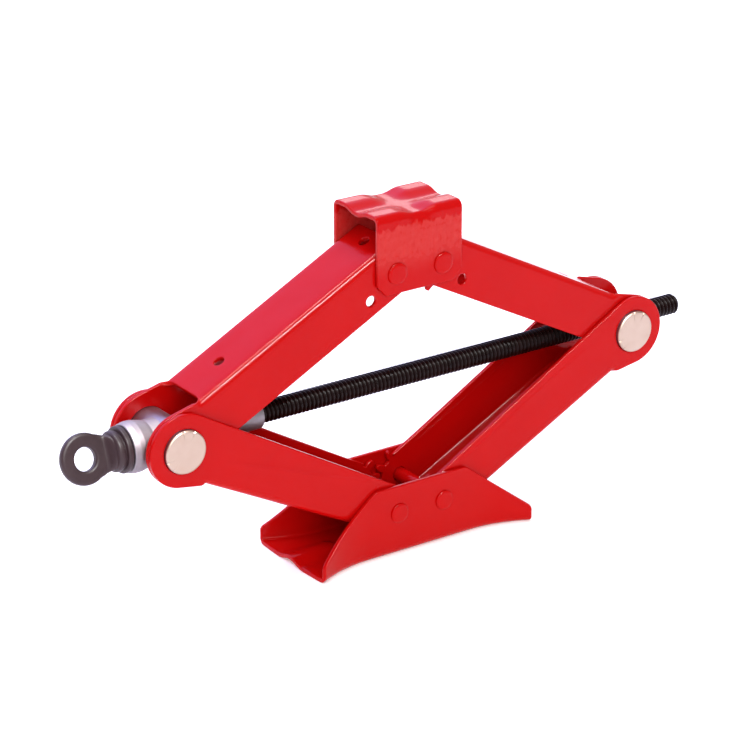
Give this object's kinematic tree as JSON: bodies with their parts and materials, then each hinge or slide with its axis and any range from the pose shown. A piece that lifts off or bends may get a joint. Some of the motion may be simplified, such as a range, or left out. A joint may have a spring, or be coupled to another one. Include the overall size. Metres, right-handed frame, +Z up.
{
  "type": "scissor jack",
  "caption": "Scissor jack: two pairs of pressed channel arms in a rhombus between a flared base and a cross-pressed saddle, opened by a lead screw with a drive eye.",
  "frame": {"origin": "centre of the underside of the base, on the ground", "axes": "+X along the screw, from the drive eye towards the screw's free end; +Y across the jack; +Z up, from the base to the saddle"},
  "size_m": [0.4719, 0.0766, 0.228],
  "materials": {
    "red_enamel": "glossy sprayed enamel over pressed sheet",
    "turned_steel": "bare turned steel",
    "zinc_plate": "bright zinc plate",
    "black_oxide": "oiled black oxide on rolled thread",
    "forged_black": "blackened forging scale",
    "cage_brass": "stamped brass"
  },
  "bodies": {
    "base": {"base_channel": "red_enamel", "base_pin_left": "red_enamel", "base_pin_right": "red_enamel"},
    "left_lower": {"lower_arm_left": "red_enamel"},
    "right_lower": {"lower_arm_right": "red_enamel"},
    "left_upper": {"upper_arm_left": "red_enamel"},
    "right_upper": {"upper_arm_right": "red_enamel"},
    "saddle": {"saddle_channel": "red_enamel", "saddle_pin_left": "red_enamel", "saddle_pin_right": "red_enamel"},
    "thrust_block": {"thrust_trunnion": "turned_steel", "bearing_cup": "zinc_plate", "fixed_race": "zinc_plate"},
    "nut_block": {"nut_trunnion": "turned_steel"},
    "screw": {"lead_screw": "black_oxide", "drive_eye": "forged_black", "turning_race": "zinc_plate", "stop_sleeve": "zinc_plate", "sleeve_pin": "zinc_plate"},
    "ball_ring": {"bearing_cage": "cage_brass", "bearing_balls": "turned_steel"}
  },
  "joints": [
    {"name": "lift", "type": "hinge", "parent": "base", "child": "left_lower", "pos_m": [-0.0175, 0, 0.0288], "axis": [0, 1, 0], "range_deg": [-18.35, 40.65]},
    {"name": "right_lower_swing", "type": "hinge", "parent": "base", "child": "right_lower", "pos_m": [0.0175, 0, 0.0288], "axis": [0, 1, 0], "range_deg": [-40.7, 18.4]},
    {"name": "left_upper_swing", "type": "hinge", "parent": "left_lower", "child": "left_upper", "pos_m": [-0.17294, 0, 0.1092], "axis": [0, 1, 0], "range_deg": [-81.35, 36.75]},
    {"name": "right_upper_swing", "type": "hinge", "parent": "right_lower", "child": "right_upper", "pos_m": [0.17294, 0, 0.1092], "axis": [0, 1, 0], "range_deg": [-36.75, 81.35]},
    {"name": "saddle_level", "type": "hinge", "parent": "left_upper", "child": "saddle", "pos_m": [-0.0175, 0, 0.1896], "axis": [0, 1, 0], "range_deg": [-18.4, 40.7]},
    {"name": "thrust_block_swing", "type": "hinge", "parent": "left_lower", "child": "thrust_block", "pos_m": [-0.17294, 0, 0.1092], "axis": [0, 1, 0], "range_deg": [-40.7, 18.4]},
    {"name": "nut_block_swing", "type": "hinge", "parent": "right_lower", "child": "nut_block", "pos_m": [0.17294, 0, 0.1092], "axis": [0, 1, 0], "range_deg": [-18.4, 40.7]},
    {"name": "screw_spin", "type": "hinge", "parent": "thrust_block", "child": "screw", "pos_m": [-0.17294, 0, 0.1092], "axis": [1, 0, 0], "continuous": true},
    {"name": "ball_ring_spin", "type": "hinge", "parent": "thrust_block", "child": "ball_ring", "pos_m": [-0.17294, 0, 0.1092], "axis": [1, 0, 0], "continuous": true}
  ],
  "couplings": [
    {"joint": "right_lower_swing", "follows": "lift", "ratio": -1},
    {"joint": "left_upper_swing", "follows": "lift", "ratio": -2},
    {"joint": "right_upper_swing", "follows": "lift", "ratio": 2},
    {"joint": "saddle_level", "follows": "lift", "ratio": 1},
    {"joint": "thrust_block_swing", "follows": "lift", "ratio": -1},
    {"joint": "nut_block_swing", "follows": "lift", "ratio": 1},
    {"joint": "ball_ring_spin", "follows": "screw_spin", "ratio": 0.5}
  ]
}
